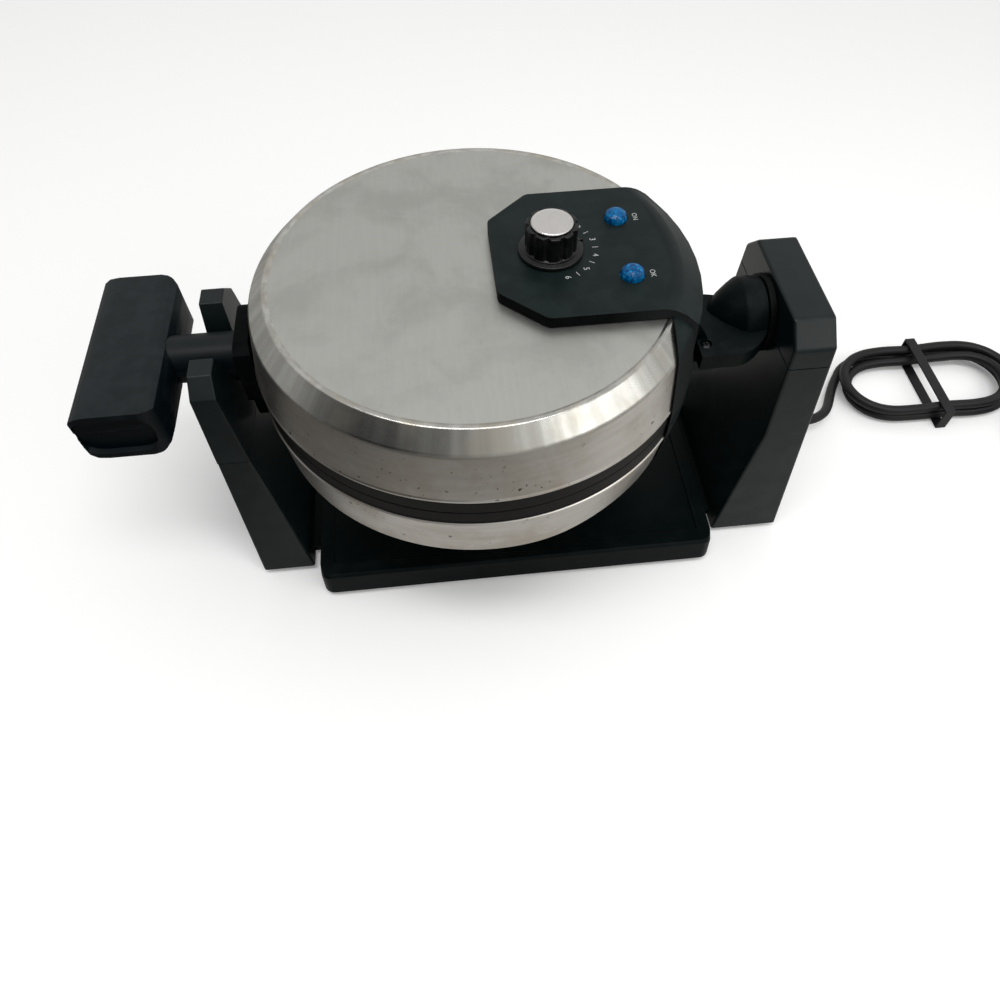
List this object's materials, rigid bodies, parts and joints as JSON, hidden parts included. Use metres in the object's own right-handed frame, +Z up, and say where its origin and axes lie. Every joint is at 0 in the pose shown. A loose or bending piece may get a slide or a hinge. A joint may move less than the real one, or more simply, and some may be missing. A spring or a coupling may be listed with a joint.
{
  "type": "rotating waffle maker",
  "caption": "Round hinged waffle cooker with steel covers and a T-shaped grip, turning over on a black stand with a drip tray.",
  "frame": {"origin": "centre of the bottom of the box round the cooker and its stand, without the free cord, on the table", "axes": "+X from the handle towards the rear post, along the turning axis; +Y across; +Z up"},
  "size_m": [0.591, 0.2236, 0.1993],
  "materials": {
    "steel_cover": "satin brushed stainless steel",
    "heater_steel": "oxidised steel sheath",
    "non_stick": "cast aluminium with a dark non-stick coating",
    "rim_plastic": "matte heat-proof moulding",
    "knob_plastic": "glossy black",
    "bright_trim": "bright satin",
    "blue_lens": "clear blue, faceted",
    "nylon": "self-lubricating nylon",
    "soft_black": "matte",
    "board": "lacquered circuit board",
    "phenolic": "phenolic moulding",
    "plated_steel": "nickel-plated",
    "black_steel": "black oxide",
    "black_plastic": "fine matte grain"
  },
  "bodies": {
    "stand": {"base_tray": "black_plastic", "foot_front_left": "soft_black", "foot_front_right": "soft_black", "foot_rear_left": "soft_black", "foot_rear_right": "soft_black", "front_post": "black_plastic", "front_fork": "black_plastic", "rear_post": "black_plastic", "rear_post_cap": "black_plastic", "post_screw_1": "black_steel", "post_screw_2": "black_steel", "post_screw_3": "black_steel", "post_screw_4": "black_steel", "hub_bush": "nylon", "strain_relief": "soft_black", "power_lead": "soft_black", "lead_hank": "soft_black", "lead_tie": "soft_black", "plug": "soft_black"},
    "cooker_base": {"lower_cover": "steel_cover", "lower_rim": "rim_plastic", "lower_grid_plate": "non_stick", "lower_heating_element": "heater_steel", "lower_side_housing": "black_plastic", "hub": "black_plastic", "hub_screw_left": "black_steel", "hub_screw_right": "black_steel", "hub_journal": "plated_steel", "stop_collar": "plated_steel", "rotor_lead": "soft_black", "hinge_pin": "plated_steel", "lower_handle_arm": "black_plastic", "lower_grip": "black_plastic"},
    "lid": {"upper_cover": "steel_cover", "upper_rim": "rim_plastic", "upper_grid_plate": "non_stick", "upper_heating_element": "heater_steel", "control_panel": "black_plastic", "lid_hinge_bracket": "plated_steel", "upper_handle_arm": "black_plastic", "upper_grip": "black_plastic", "thermostat": "phenolic", "indicator_board": "board", "power_lamp": "bright_trim", "ready_lamp": "bright_trim", "power_light": "blue_lens", "ready_light": "blue_lens"},
    "browning_control": {"control_knob": "knob_plastic", "knob_cap": "bright_trim", "thermostat_spindle": "plated_steel"},
    "contact_strip": {"thermostat_contact": "plated_steel"},
    "washer": {"thrust_washer": "nylon"}
  },
  "joints": [
    {"name": "cooker_flip", "type": "hinge", "parent": "stand", "child": "cooker_base", "pos_m": [0.16, 0, 0.133], "axis": [-1, 0, 0], "range_deg": [-180, 0]},
    {"name": "lid_hinge", "type": "hinge", "parent": "cooker_base", "child": "lid", "pos_m": [0.1122, 0, 0.153], "axis": [0, 1, 0], "range_deg": [0, 95]},
    {"name": "browning_knob", "type": "hinge", "parent": "lid", "child": "browning_control", "pos_m": [0.0452, 0, 0.185], "axis": [0, 0, 1], "range_deg": [-91, 62]},
    {"name": "contact_flex", "type": "hinge", "parent": "lid", "child": "contact_strip", "pos_m": [0.0549, 0, 0.1622], "axis": [0, 1, 0], "range_deg": [0, 3], "stiffness_Nm_per_rad": 0.005, "springref_deg": -2.86},
    {"name": "washer_turn", "type": "hinge", "parent": "stand", "child": "washer", "pos_m": [0.1595, 0, 0.133], "axis": [1, 0, 0], "continuous": true}
  ]
}
